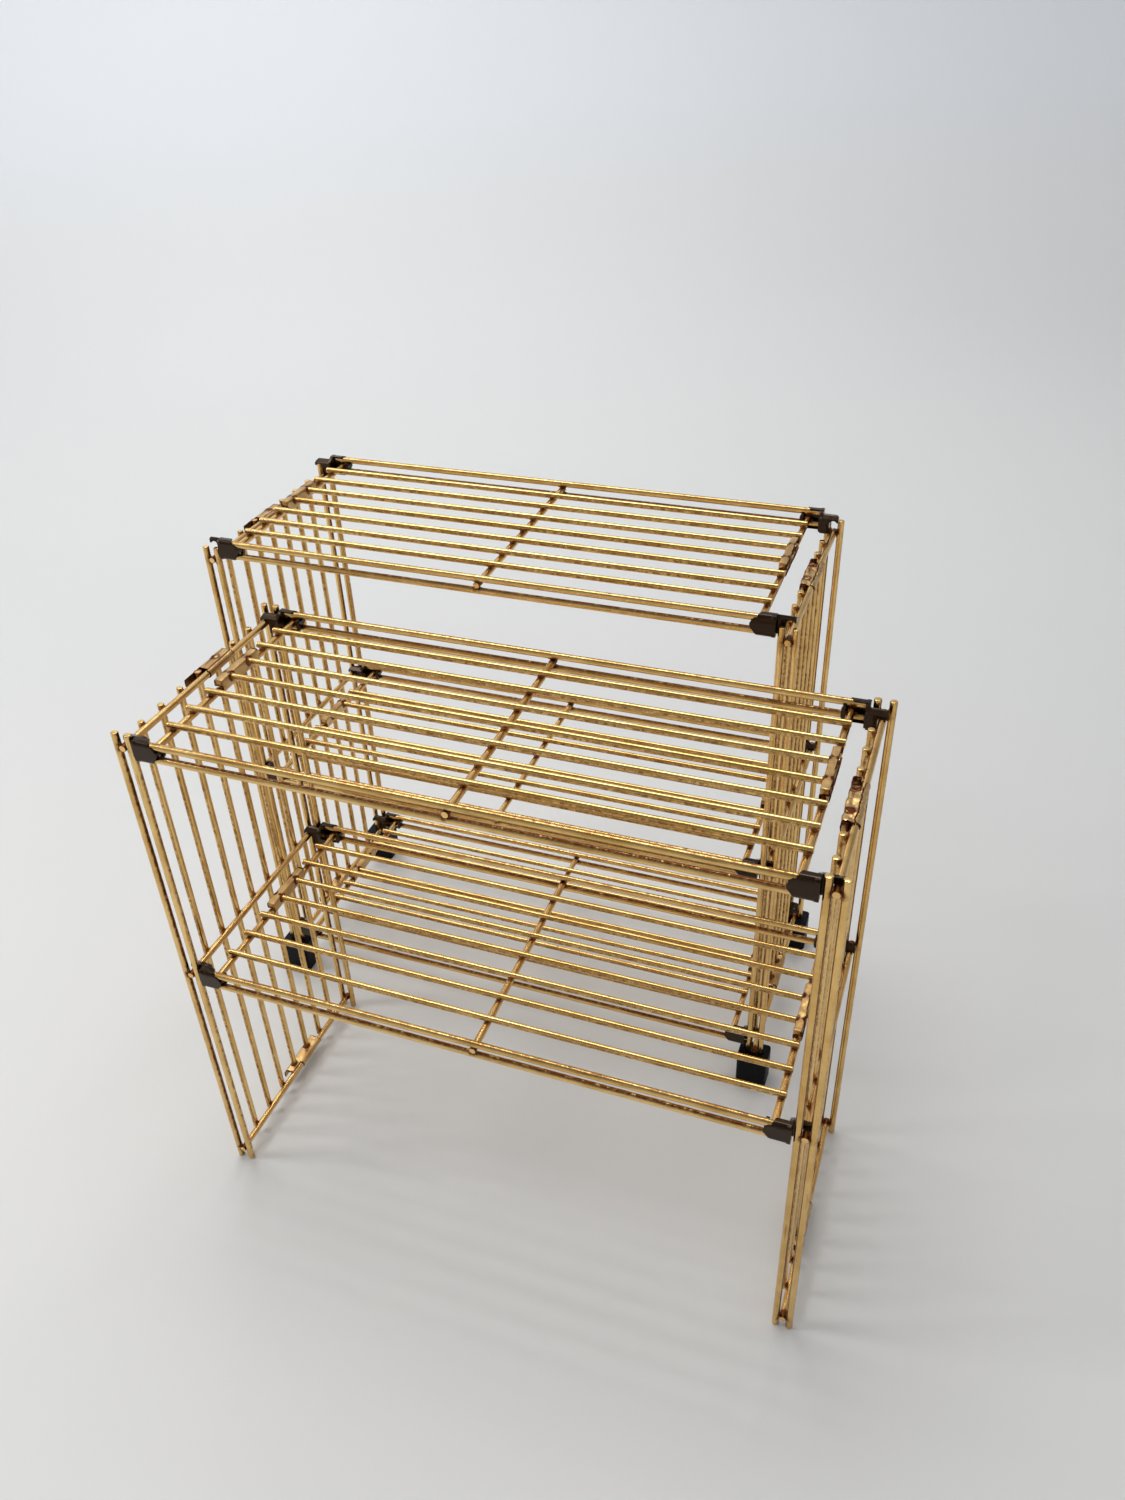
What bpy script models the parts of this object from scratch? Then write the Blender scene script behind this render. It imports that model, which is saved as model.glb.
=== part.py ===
"""Set of two modular wire racks for cooling trays: a three-shelf rack on rubber feet, and a two-shelf
rack without feet that stands in front of it.

Every side panel and every shelf is a brazed grid of the same pattern: doubled edge rods with three
crossbars between them, and seven slats laid across the crossbars. A folded sheet sleeve wraps each end
crossbar. Four moulded clips at the shelf corners hook over the crossbars of the side panels, so a
shelf lifts straight off.

Metres, +Z up. +X runs along the shelves, +Y to the rear. The origin is on the floor, under the middle
of the whole set's box.
"""

import bmesh
import bpy
from math import asin, cos, degrees, pi, radians, sin
from mathutils import Matrix, Vector

# Driving dimensions
DEPTH = 0.250            # front to rear leg rods, centre to centre
LENGTH = 0.634           # left to right side panel, middle to middle
HEIGHT = 0.601           # length of a leg rod
ROD_RADIUS = 0.0035      # leg rods and shelf edge rods
BAR_RADIUS = 0.0036      # crossbars
SLAT_RADIUS = 0.00325    # the seven slats of a grid
BRAZE_BITE = 0.00015     # how far brazed rods sink into each other
GAP = 0.0003             # clearance between separate pieces
ROD_SIDES = 8

# The grid pattern
PAIR_SPACING = 2 * (ROD_RADIUS + BAR_RADIUS - BRAZE_BITE)
SLAT_OFFSET = BAR_RADIUS + SLAT_RADIUS - BRAZE_BITE
BAR_OVERHANG = 0.0034    # how far a crossbar passes the centres of its edge rods
SLAT_COUNT = 7
SLAT_PITCH = 0.0302
SLAT_OVERHANG = 0.0010   # how far a slat passes the surface of an end crossbar
END_BAR_INSET = 0.0147   # from the end of a leg rod to the end crossbar of a panel
SHELF_BAR_INSET = 0.0287  # from the panel's middle plane to the end crossbar of a shelf

# Sheet sleeves, round the end crossbars and the ends of two slats
SLEEVED_SLATS = (3, 4)   # counted from 0 at the front
SLEEVE_LENGTH = 0.0635
SLEEVE_SHEET = 0.0008
SLEEVE_HALF_WIDTH = BAR_RADIUS + 0.0005

# Shelf clips, measured from a panel's middle plane, a leg rod's centre and the shelf's middle plane
CLIP_START = 0.0122
CLIP_FLANGE = 0.0037     # thickness of the end flange, beside the ends of the shelf's edge rods
CLIP_SHOULDER = 0.0310   # where the outer plate starts to narrow
CLIP_TIP = 0.0375
CLIP_TIP_HALF = 0.0030
CLIP_WALL = 0.0011
CLIP_LIP = 0.0009
LIP_REACH = 0.0045       # how far the lips reach past the edge rods' centres
HOOK_BORE = BAR_RADIUS / cos(pi / ROD_SIDES) + 0.0004
HOOK_OUTER = 0.0052      # from the crossbar's centre to the end of the hook's finger
HOOK_FINGER_END = 0.0018  # how far above the crossbar's centre the finger ends
HOOK_TOP = 0.0092
HOOK_ROUNDING = 0.0040
HOOK_FRONT = 0.0060
HOOK_BACK = 0.0140
HOOK_BACK_TOP = 0.0060   # the hook's top slopes down to the back
TAB_START = SHELF_BAR_INSET + BAR_RADIUS + 0.0010
TAB_HALF = 0.0024
BARB_START = ROD_RADIUS + 0.0005
BARB_END = 0.0083
BARB_TOP = 0.0055
BARB_BOTTOM = 0.0080

# Rubber feet of the rear rack
FOOT_LENGTH = 0.037
FOOT_DEPTH = 0.030
FOOT_HEIGHT = 0.0455
FOOT_FLOOR = 0.030       # thickness of rubber under the leg rods
FOOT_ROUNDING = 0.003

# How the two racks stand
RACK_OFFSET_X = -0.0989  # rear rack, from the front rack
RACK_OFFSET_Y = 0.3008

# Heights of the panels' crossbars, and how far above its crossbars each shelf of the rear rack is held
BAR_LEVELS = {
    "bottom": END_BAR_INSET,
    "middle": HEIGHT / 2,
    "top": HEIGHT - END_BAR_INSET,
}
REAR_PERCHES = {"bottom": 0.0223, "middle": 0.0, "top": 0.0147}

# Colours, linear RGB, with roughness and metallic value
FINISHES = {
    "brass_rod": ((0.62, 0.42, 0.17), 0.34, 1.0),
    "brass_sheet": ((0.50, 0.32, 0.13), 0.45, 1.0),
    "clip_plastic": ((0.035, 0.026, 0.020), 0.40, 0.0),
    "foot_rubber": ((0.012, 0.013, 0.015), 0.75, 0.0),
}


def clear_scene():
    for obj in list(bpy.data.objects):
        bpy.data.objects.remove(obj, do_unlink=True)


def new_collection(name):
    collection = bpy.data.collections.new(name)
    bpy.context.scene.collection.children.link(collection)
    return collection


def make_material(name, colour, roughness, metallic):
    material = bpy.data.materials.new(name)
    material.use_nodes = True
    shader = material.node_tree.nodes["Principled BSDF"]
    shader.inputs["Base Color"].default_value = (*colour, 1.0)
    shader.inputs["Roughness"].default_value = roughness
    shader.inputs["Metallic"].default_value = metallic
    return material


def mesh_object(name, bm, collection):
    """Turns a bmesh into an object in the collection, and frees the bmesh."""
    mesh = bpy.data.meshes.new(name)
    bm.to_mesh(mesh)
    bm.free()
    obj = bpy.data.objects.new(name, mesh)
    collection.objects.link(obj)
    return obj


def make_cutter(obj):
    """Marks an object as a tool for a Boolean, so it isn't a part."""
    obj.hide_render = True
    obj.display_type = "WIRE"
    return obj


def rod(name, start, end, radius, collection):
    """A straight rod with flats towards the axes, so that crossing rods meet flat on flat."""
    start, end = Vector(start), Vector(end)
    bm = bmesh.new()
    bmesh.ops.create_cone(
        bm, cap_ends=True, segments=ROD_SIDES,
        radius1=radius / cos(pi / ROD_SIDES), radius2=radius / cos(pi / ROD_SIDES),
        depth=(end - start).length,
    )
    bmesh.ops.rotate(bm, verts=bm.verts, matrix=Matrix.Rotation(pi / ROD_SIDES, 3, "Z"))
    turn = (end - start).to_track_quat("Z", "Y").to_matrix()
    bmesh.ops.rotate(bm, verts=bm.verts, matrix=turn)
    bmesh.ops.translate(bm, verts=bm.verts, vec=(start + end) / 2)
    return mesh_object(name, bm, collection)


def box(name, low, high, collection):
    """A box between two corners."""
    low, high = Vector(low), Vector(high)
    bm = bmesh.new()
    bmesh.ops.create_cube(bm, size=1.0)
    bmesh.ops.scale(bm, verts=bm.verts, vec=high - low)
    bmesh.ops.translate(bm, verts=bm.verts, vec=(low + high) / 2)
    return mesh_object(name, bm, collection)


def extruded(name, outline, along, low, high, collection):
    """A closed outline pushed straight along X, Y or Z. Its points are (y, z), (x, z) or (x, y)."""
    place = {
        "X": lambda point: (low, point[0], point[1]),
        "Y": lambda point: (point[0], low, point[1]),
        "Z": lambda point: (point[0], point[1], low),
    }[along]
    push = {"X": (1, 0, 0), "Y": (0, 1, 0), "Z": (0, 0, 1)}[along]
    bm = bmesh.new()
    face = bm.faces.new([bm.verts.new(place(point)) for point in outline])
    grown = bmesh.ops.extrude_face_region(bm, geom=[face])
    moved = [item for item in grown["geom"] if isinstance(item, bmesh.types.BMVert)]
    bmesh.ops.translate(bm, verts=moved, vec=Vector(push) * (high - low))
    bmesh.ops.recalc_face_normals(bm, faces=bm.faces)
    return mesh_object(name, bm, collection)


def combined(name, first, others, operation, cutters):
    """The mesh of one object joined with, or cut by, the others, which are then removed."""
    tools = bpy.data.collections.new(f"{name}_tools")
    cutters.children.link(tools)
    for obj in others:
        cutters.objects.unlink(obj)
        tools.objects.link(make_cutter(obj))
    modifier = first.modifiers.new("combine", "BOOLEAN")
    modifier.operation = operation
    modifier.solver = "EXACT"
    modifier.operand_type = "COLLECTION"
    modifier.collection = tools
    graph = bpy.context.evaluated_depsgraph_get()
    mesh = bpy.data.meshes.new_from_object(first.evaluated_get(graph))
    mesh.name = name
    for obj in [first, *others]:
        bpy.data.objects.remove(obj, do_unlink=True)
    bpy.data.collections.remove(tools)
    return mesh


def smooth(mesh, degrees=35):
    mesh.shade_smooth()
    mesh.set_sharp_from_angle(angle=radians(degrees))
    return mesh


def slat_places():
    """Where the slats cross the crossbars, from the front leg rods' centres."""
    middle = (SLAT_COUNT - 1) / 2
    return [DEPTH / 2 + (i - middle) * SLAT_PITCH for i in range(SLAT_COUNT)]


def slat_span(index, first_bar, last_bar):
    """Both ends of a slat: past the end crossbars, or up to the sleeves round them."""
    if index in SLEEVED_SLATS:
        stop = SLEEVE_HALF_WIDTH + SLEEVE_SHEET + GAP
        return first_bar + stop, last_bar - stop
    stop = BAR_RADIUS + SLAT_OVERHANG
    return first_bar - stop, last_bar + stop


def sleeve_middle():
    places = slat_places()
    return sum(places[i] for i in SLEEVED_SLATS) / len(SLEEVED_SLATS)


def panel_mesh(cutters):
    """Side panel, standing: slats on the -X side, origin at the foot of the front leg rods."""
    half = PAIR_SPACING / 2
    rods = [
        rod("leg", (side * half, y, 0), (side * half, y, HEIGHT), ROD_RADIUS, cutters)
        for y in (0, DEPTH) for side in (-1, 1)
    ]
    for z in BAR_LEVELS.values():
        rods.append(rod("bar", (0, -BAR_OVERHANG, z), (0, DEPTH + BAR_OVERHANG, z), BAR_RADIUS, cutters))
    for index, y in enumerate(slat_places()):
        low, high = slat_span(index, BAR_LEVELS["bottom"], BAR_LEVELS["top"])
        rods.append(rod("slat", (-SLAT_OFFSET, y, low), (-SLAT_OFFSET, y, high), SLAT_RADIUS, cutters))
    return smooth(combined("panel_grid", rods[0], rods[1:], "UNION", cutters))


def shelf_mesh(cutters):
    """Shelf grid, lying: slats on top, origin at the left panel's middle plane and the front leg rods."""
    half = PAIR_SPACING / 2
    start = CLIP_START + CLIP_FLANGE + GAP
    rods = [
        rod("edge", (start, y, side * half), (LENGTH - start, y, side * half), ROD_RADIUS, cutters)
        for y in (0, DEPTH) for side in (-1, 1)
    ]
    for x in (SHELF_BAR_INSET, LENGTH / 2, LENGTH - SHELF_BAR_INSET):
        rods.append(rod("bar", (x, -BAR_OVERHANG, 0), (x, DEPTH + BAR_OVERHANG, 0), BAR_RADIUS, cutters))
    for index, y in enumerate(slat_places()):
        low, high = slat_span(index, SHELF_BAR_INSET, LENGTH - SHELF_BAR_INSET)
        rods.append(rod("slat", (low, y, SLAT_OFFSET), (high, y, SLAT_OFFSET), SLAT_RADIUS, cutters))
    return smooth(combined("shelf_grid", rods[0], rods[1:], "UNION", cutters))


def sleeve_mesh(cutters):
    """Folded sleeve round a left end crossbar of a shelf: its wall faces the slats, its cover is on top."""
    inner, outer = SLEEVE_HALF_WIDTH, SLEEVE_HALF_WIDTH + SLEEVE_SHEET
    cover = SLAT_OFFSET + SLAT_RADIUS + GAP
    fold = [
        (-outer, cover), (inner, cover), (inner, -inner), (-inner, -inner), (-inner, inner),
        (-outer, inner), (-outer, -outer), (outer, -outer), (outer, cover + SLEEVE_SHEET),
        (-outer, cover + SLEEVE_SHEET),
    ]
    half = SLEEVE_LENGTH / 2
    obj = extruded("sleeve", fold, "Y", -half, half, cutters)
    mesh = obj.data
    bpy.data.objects.remove(obj, do_unlink=True)
    return mesh


def arc(centre, radius, start, end, steps=6):
    """Points along a round stretch of an outline, between two angles in degrees."""
    turns = [radians(start + (end - start) * i / steps) for i in range(steps + 1)]
    return [(centre[0] + radius * cos(turn), centre[1] + radius * sin(turn)) for turn in turns]


def hook_outline():
    """Outline of a clip's hook: a solid block beside the crossbar, and a finger that arches over it."""
    root = CLIP_START + CLIP_FLANGE / 2
    low = clip_half_height()
    finger_turn = degrees(asin(HOOK_FINGER_END / HOOK_BORE))
    mouth = arc((0, 0), HOOK_BORE, 180 - finger_turn, 0, 8)
    corner = arc((HOOK_ROUNDING - HOOK_OUTER, HOOK_TOP - HOOK_ROUNDING), HOOK_ROUNDING, 90, 180, 4)
    return mouth + [(HOOK_BORE, -low), (root, -low), (root, HOOK_TOP)] + corner + [(-HOOK_OUTER, HOOK_FINGER_END)]


def clip_half_height():
    return PAIR_SPACING / 2 + ROD_RADIUS + GAP + CLIP_LIP


def clip_mesh(cutters):
    """Moulded clip for the front left corner of a shelf."""
    inside = ROD_RADIUS + GAP
    outside = inside + CLIP_WALL
    top = clip_half_height()
    half = top - CLIP_LIP
    channel = [
        (-outside, -top), (LIP_REACH, -top), (LIP_REACH, -half), (-inside, -half),
        (-inside, half), (LIP_REACH, half), (LIP_REACH, top), (-outside, top),
    ]
    body = extruded("channel", channel, "X", CLIP_START, CLIP_TIP, cutters)
    margin = 0.001
    corners = [
        extruded(
            "corner",
            [(CLIP_SHOULDER, side * (top + margin)), (CLIP_TIP + margin, side * (top + margin)),
             (CLIP_TIP + margin, side * CLIP_TIP_HALF), (CLIP_TIP, side * CLIP_TIP_HALF),
             (CLIP_SHOULDER, side * top)],
            "Y", -outside - margin, LIP_REACH + margin, cutters,
        )
        for side in (-1, 1)
    ]
    body = mesh_object_from(combined("clip_channel", body, corners, "DIFFERENCE", cutters), cutters)
    more = [
        box("flange", (CLIP_START, -outside, -top), (CLIP_START + CLIP_FLANGE, HOOK_BACK, top), cutters),
        extruded("hook", hook_outline(), "Y", HOOK_FRONT, HOOK_BACK, cutters),
        box("tab", (TAB_START, -inside - CLIP_WALL / 2, -TAB_HALF), (CLIP_TIP, BARB_END, TAB_HALF), cutters),
        box("barb", (TAB_START, BARB_START, -BARB_BOTTOM), (CLIP_TIP, BARB_END, BARB_TOP), cutters),
    ]
    body = mesh_object_from(combined("clip_solid", body, more, "UNION", cutters), cutters)
    slope = [
        (LIP_REACH, top), (HOOK_BACK, HOOK_BACK_TOP), (HOOK_BACK + margin, HOOK_BACK_TOP),
        (HOOK_BACK + margin, top + margin), (LIP_REACH, top + margin),
    ]
    wedge = extruded("slope", slope, "X", -HOOK_OUTER - margin, CLIP_TIP, cutters)
    return smooth(combined("clip", body, [wedge], "DIFFERENCE", cutters))


def mesh_object_from(mesh, collection):
    obj = bpy.data.objects.new(mesh.name, mesh)
    collection.objects.link(obj)
    return obj


def mirrored(mesh, flip_x, flip_y):
    """A copy of a mesh, mirrored across X and Y as asked, with its faces still pointing out."""
    copy = mesh.copy()
    copy.transform(Matrix.Diagonal((-1 if flip_x else 1, -1 if flip_y else 1, 1, 1)))
    if flip_x != flip_y:
        copy.flip_normals()
    return copy


def foot_mesh(cutters):
    """Front rubber foot, origin on the floor between the two leg rods that it holds. A slot in its top
    takes the panel's bottom crossbar."""
    corner = Vector((FOOT_LENGTH / 2, FOOT_DEPTH / 2, 0))
    block = box("foot", -corner, corner + Vector((0, 0, FOOT_HEIGHT)), cutters)
    rounding = block.modifiers.new("rounding", "BEVEL")
    rounding.width = FOOT_ROUNDING
    rounding.segments = 2
    rounding.limit_method = "WEIGHT"
    weights = block.data.attributes.new("bevel_weight_edge", "FLOAT", "EDGE")
    for edge in block.data.edges:
        low, high = (block.data.vertices[i].co for i in edge.vertices)
        weights.data[edge.index].value = 1.0 if abs(high.z - low.z) > FOOT_HEIGHT / 2 else 0.0
    half = PAIR_SPACING / 2
    holes = [
        rod("socket", (x, 0, FOOT_FLOOR - GAP), (x, 0, FOOT_HEIGHT * 2), ROD_RADIUS + GAP, cutters)
        for x in (-half, half)
    ]
    slot = BAR_RADIUS + GAP
    holes.append(
        box(
            "slot", (-slot, -BAR_OVERHANG - GAP, FOOT_FLOOR + END_BAR_INSET - slot),
            (slot, FOOT_DEPTH, FOOT_HEIGHT * 2), cutters,
        )
    )
    return smooth(combined("foot", block, holes, "DIFFERENCE", cutters))


def empty(name, place, parent, collection):
    """A bare axis that carries one body of the set."""
    obj = bpy.data.objects.new(name, None)
    obj.empty_display_size = 0.05
    obj.location = place
    obj.parent = parent
    collection.objects.link(obj)
    return obj


def part(name, mesh, material, parent, collection, place=(0, 0, 0), rotation=(0, 0, 0)):
    """One node: a mesh placed on its body."""
    obj = bpy.data.objects.new(name, mesh)
    if not mesh.materials:
        mesh.materials.append(material)
    obj.location = place
    obj.rotation_euler = rotation
    obj.parent = parent
    collection.objects.link(obj)
    return obj


def add_panel(name, x, turned, shapes, finishes, rack, collection):
    """Side panel at x, with a sleeve on each end crossbar. A turned one is upside down, back to front."""
    rotation = (pi, 0, 0) if turned else (0, 0, 0)
    place = (x, DEPTH, HEIGHT) if turned else (x, 0, 0)
    part(f"{name}_grid", shapes["panel"], finishes["brass_rod"], rack, collection, place, rotation)
    middle = DEPTH - sleeve_middle() if turned else sleeve_middle()
    # The shelf's sleeve, turned so that its cover faces -X and its wall faces the slats
    for level, turn in (("bottom", (0, -pi / 2, 0)), ("top", (pi, pi / 2, 0))):
        part(
            f"{name}_{level}_sleeve", shapes["sleeve"], finishes["brass_sheet"], rack, collection,
            (x, middle, BAR_LEVELS[level]), turn,
        )


def add_shelf(name, height, shapes, finishes, rack, collection):
    """Shelf with its sleeves and its four clips, on a body of its own that lifts along Z."""
    shelf = empty(name, (0, 0, height), rack, collection)
    part(f"{name}_grid", shapes["shelf"], finishes["brass_rod"], shelf, collection)
    sides = {"left": (SHELF_BAR_INSET, 0), "right": (LENGTH - SHELF_BAR_INSET, pi)}
    for side, (x, turn) in sides.items():
        part(
            f"{name}_{side}_sleeve", shapes["sleeve"], finishes["brass_sheet"], shelf, collection,
            (x, sleeve_middle(), 0), (0, 0, turn),
        )
    for row, y in (("front", 0), ("rear", DEPTH)):
        for side, x in (("left", 0), ("right", LENGTH)):
            part(
                f"{name}_{row}_{side}_clip", shapes[f"clip_{row}_{side}"], finishes["clip_plastic"], shelf,
                collection, (x, y, 0),
            )


def add_feet(name, shapes, finishes, rack, collection):
    for row, y in (("front", 0), ("rear", DEPTH)):
        for side, x in (("left", 0), ("right", LENGTH)):
            part(
                f"{name}_{row}_{side}_foot", shapes[f"foot_{row}"], finishes["foot_rubber"], rack,
                collection, (x, y, -FOOT_FLOOR),
            )


def main():
    clear_scene()
    collection = new_collection("cooling_rack")
    cutters = new_collection("cutters")
    finishes = {name: make_material(name, *values) for name, values in FINISHES.items()}
    clip = clip_mesh(cutters)
    foot = foot_mesh(cutters)
    shapes = {
        "panel": panel_mesh(cutters),
        "shelf": shelf_mesh(cutters),
        "sleeve": sleeve_mesh(cutters),
    }
    for row in ("front", "rear"):
        shapes[f"foot_{row}"] = mirrored(foot, False, row == "rear")
        for side in ("left", "right"):
            shapes[f"clip_{row}_{side}"] = mirrored(clip, side == "right", row == "rear")

    # The set's box reaches from the rear rack's left feet to the front rack's right leg rods, and from
    # the front rack's clips to the rear rack's rear feet.
    left_edge = RACK_OFFSET_X - FOOT_LENGTH / 2
    right_edge = LENGTH + PAIR_SPACING / 2 + ROD_RADIUS
    front_edge = -(ROD_RADIUS + GAP + CLIP_WALL)
    rear_edge = RACK_OFFSET_Y + DEPTH + FOOT_DEPTH / 2
    front_place = Vector((-(left_edge + right_edge) / 2, -(front_edge + rear_edge) / 2, 0))
    rear_place = front_place + Vector((RACK_OFFSET_X, RACK_OFFSET_Y, FOOT_FLOOR))

    rear = empty("rear_rack", rear_place, None, collection)
    add_panel("rear_left_panel", 0, True, shapes, finishes, rear, collection)
    add_panel("rear_right_panel", LENGTH, False, shapes, finishes, rear, collection)
    add_feet("rear", shapes, finishes, rear, collection)
    for level, perch in REAR_PERCHES.items():
        add_shelf(
            f"rear_{level}_shelf", BAR_LEVELS[level] + perch, shapes, finishes, rear, collection
        )

    front = empty("front_rack", front_place, None, collection)
    add_panel("front_left_panel", 0, False, shapes, finishes, front, collection)
    add_panel("front_right_panel", LENGTH, True, shapes, finishes, front, collection)
    for level in ("middle", "top"):
        add_shelf(f"front_{level}_shelf", BAR_LEVELS[level], shapes, finishes, front, collection)


main()
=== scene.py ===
"""The looks of the cooling rack: two brass wire racks with sheet sleeves, moulded clips and rubber feet.

Every piece is built where its CAD node is, in metres, in the CAD's own frame. A grid (a side panel or a
shelf) is built in three directions of its own: along its doubled edge rods, across its slats, and out
towards the slats' side.
"""

from math import ceil, cos, exp, hypot, pi, radians, sin
from random import Random

import bmesh
import bpy
from mathutils import Matrix, Vector, noise


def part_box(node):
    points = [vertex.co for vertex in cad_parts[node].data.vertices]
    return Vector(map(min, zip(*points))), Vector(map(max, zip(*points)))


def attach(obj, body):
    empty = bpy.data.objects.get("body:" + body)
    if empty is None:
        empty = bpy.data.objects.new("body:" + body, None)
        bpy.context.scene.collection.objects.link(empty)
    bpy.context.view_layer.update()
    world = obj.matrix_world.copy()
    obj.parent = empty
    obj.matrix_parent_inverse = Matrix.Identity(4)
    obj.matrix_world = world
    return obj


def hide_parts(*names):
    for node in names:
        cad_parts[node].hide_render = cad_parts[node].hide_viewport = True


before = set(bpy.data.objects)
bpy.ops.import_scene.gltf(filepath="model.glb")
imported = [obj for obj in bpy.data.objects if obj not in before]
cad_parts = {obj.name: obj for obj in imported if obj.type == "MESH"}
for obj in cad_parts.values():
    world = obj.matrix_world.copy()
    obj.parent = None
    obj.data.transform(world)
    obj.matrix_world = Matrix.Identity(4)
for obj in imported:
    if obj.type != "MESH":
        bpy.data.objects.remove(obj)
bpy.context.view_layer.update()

# Sizes of the pieces, as in the CAD
ROD_RADIUS = 0.0035        # leg rods of panels and edge rods of shelves
BAR_RADIUS = 0.0036        # crossbars
SLAT_RADIUS = 0.00325
BRAZE_BITE = 0.00015       # how far brazed rods sink into each other
PAIR_SPACING = 2 * (ROD_RADIUS + BAR_RADIUS - BRAZE_BITE)
SLAT_OFFSET = BAR_RADIUS + SLAT_RADIUS - BRAZE_BITE
BAR_OVERHANG = 0.0034      # from the edge rods' middle to the crossbars' ends
DEPTH = 0.250              # between a grid's front and rear edge rods
SLAT_COUNT = 7
SLAT_PITCH = 0.0302
SLAT_OVERHANG = 0.0010     # from the side of an end crossbar to the slats' ends
PANEL_BAR_INSET = 0.0147   # from a panel's end to its end crossbars
SHELF_BAR_INSET = 0.01245  # from the end of a shelf's edge rods to its end crossbars
SLEEVE_LENGTH = 0.0635
SLEEVE_SHEET = 0.0008
SLEEVE_COVER = 0.01065     # from the crossbars' middle to the middle of the sleeve's cover
SHELF_ROD_START = 0.0162   # from a panel's middle plane to the ends of a shelf's edge rods
CLIP_START, CLIP_FLANGE_END, CLIP_TIP = 0.0122, 0.0159, 0.0375
FOOT_LENGTH, FOOT_DEPTH, FOOT_HEIGHT, FOOT_FLOOR = 0.037, 0.030, 0.0455, 0.030

# Fineness and wear of the rods
ROD_SIDES = 20
RING_STEP = 0.022        # longest stretch between two rings of vertices
RING_GAP = 0.0009        # a ring closer than this to the one before is left out
JOINT_RINGS = (0.0, 0.0018, 0.0034, 0.0055, 0.0085, 0.0125)   # from a joint to its rings
END_ROUNDING = 0.0006
SLAT_BOW = 0.0004        # the most that a slat is bent aside
LINE_SCALE = 20          # UV units in a metre of rod
EDGE_STAIN, SLAT_STAIN, BAR_END_STAIN = 1.0, 0.8, 1.3
STAIN_REACH = 0.0065     # how far a joint's stain runs along its rod
STAIN_BEHIND = 0.30      # the share of it on the side that faces away from the other rod
GROOVE_PATINA_AND_SHADE = 0.95     # cube root of the darkening on the inner sides of doubled rods: patina, and painted shade between the rods
SIDE_SHADE = 0.78       # and of the painted shade on the sides of the other rods
TINTS = (-0.12, 0.22)    # the range of the rods' shades, from pale to dark
CLEAN_SHADE = -0.25      # their cut ends are paler

# Braze: half sizes of a bead along the grid's rods, across them, and from rod to rod
SLAT_BEAD = (0.0030, 0.0030, 0.0012)
EDGE_BEAD = (0.0058, 0.0017, 0.0012)
ROUND = 180              # the angle past which an edge is sharp, for pieces without any

# Sleeves
SLEEVE_HALF_WIDTH = BAR_RADIUS + 0.0006   # to the sheet's middle: narrower than the CAD's, for its waves
SLEEVE_ROWS = 50                          # faces along a sleeve
DENT_SEED = 1
SLEEVE_STEP = 0.0011                      # length of a face across the sheet
WRAP_STEPS = 12                           # faces round the crossbar
COVER_BAND = 0.0006                       # faces this close to the cover's height belong to it
STEP_WIDTH = 0.0012                       # what a stepped cover loses at its far edge
RAGGEDNESS = 0.012                        # share of the length by which torn edges vary
RIM_GRIME, SLAT_GRIME = 1.15, 1.1         # dark rims, and dark round the slats that pass through
SLAT_GRIME_REACH = 0.0022
SOLDER_THICKNESS = 0.00062

# The camera, as fitted to the photo, from the floor between the front left leg rods
CAMERA_FROM_LEG = (0.691213, -0.682670, 1.185644)
CAMERA_TURN = (0.958516, 0.035843, 0.351104)
CAMERA_LENS = 28.70


# --------------------------------------------------------------------------- materials

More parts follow.
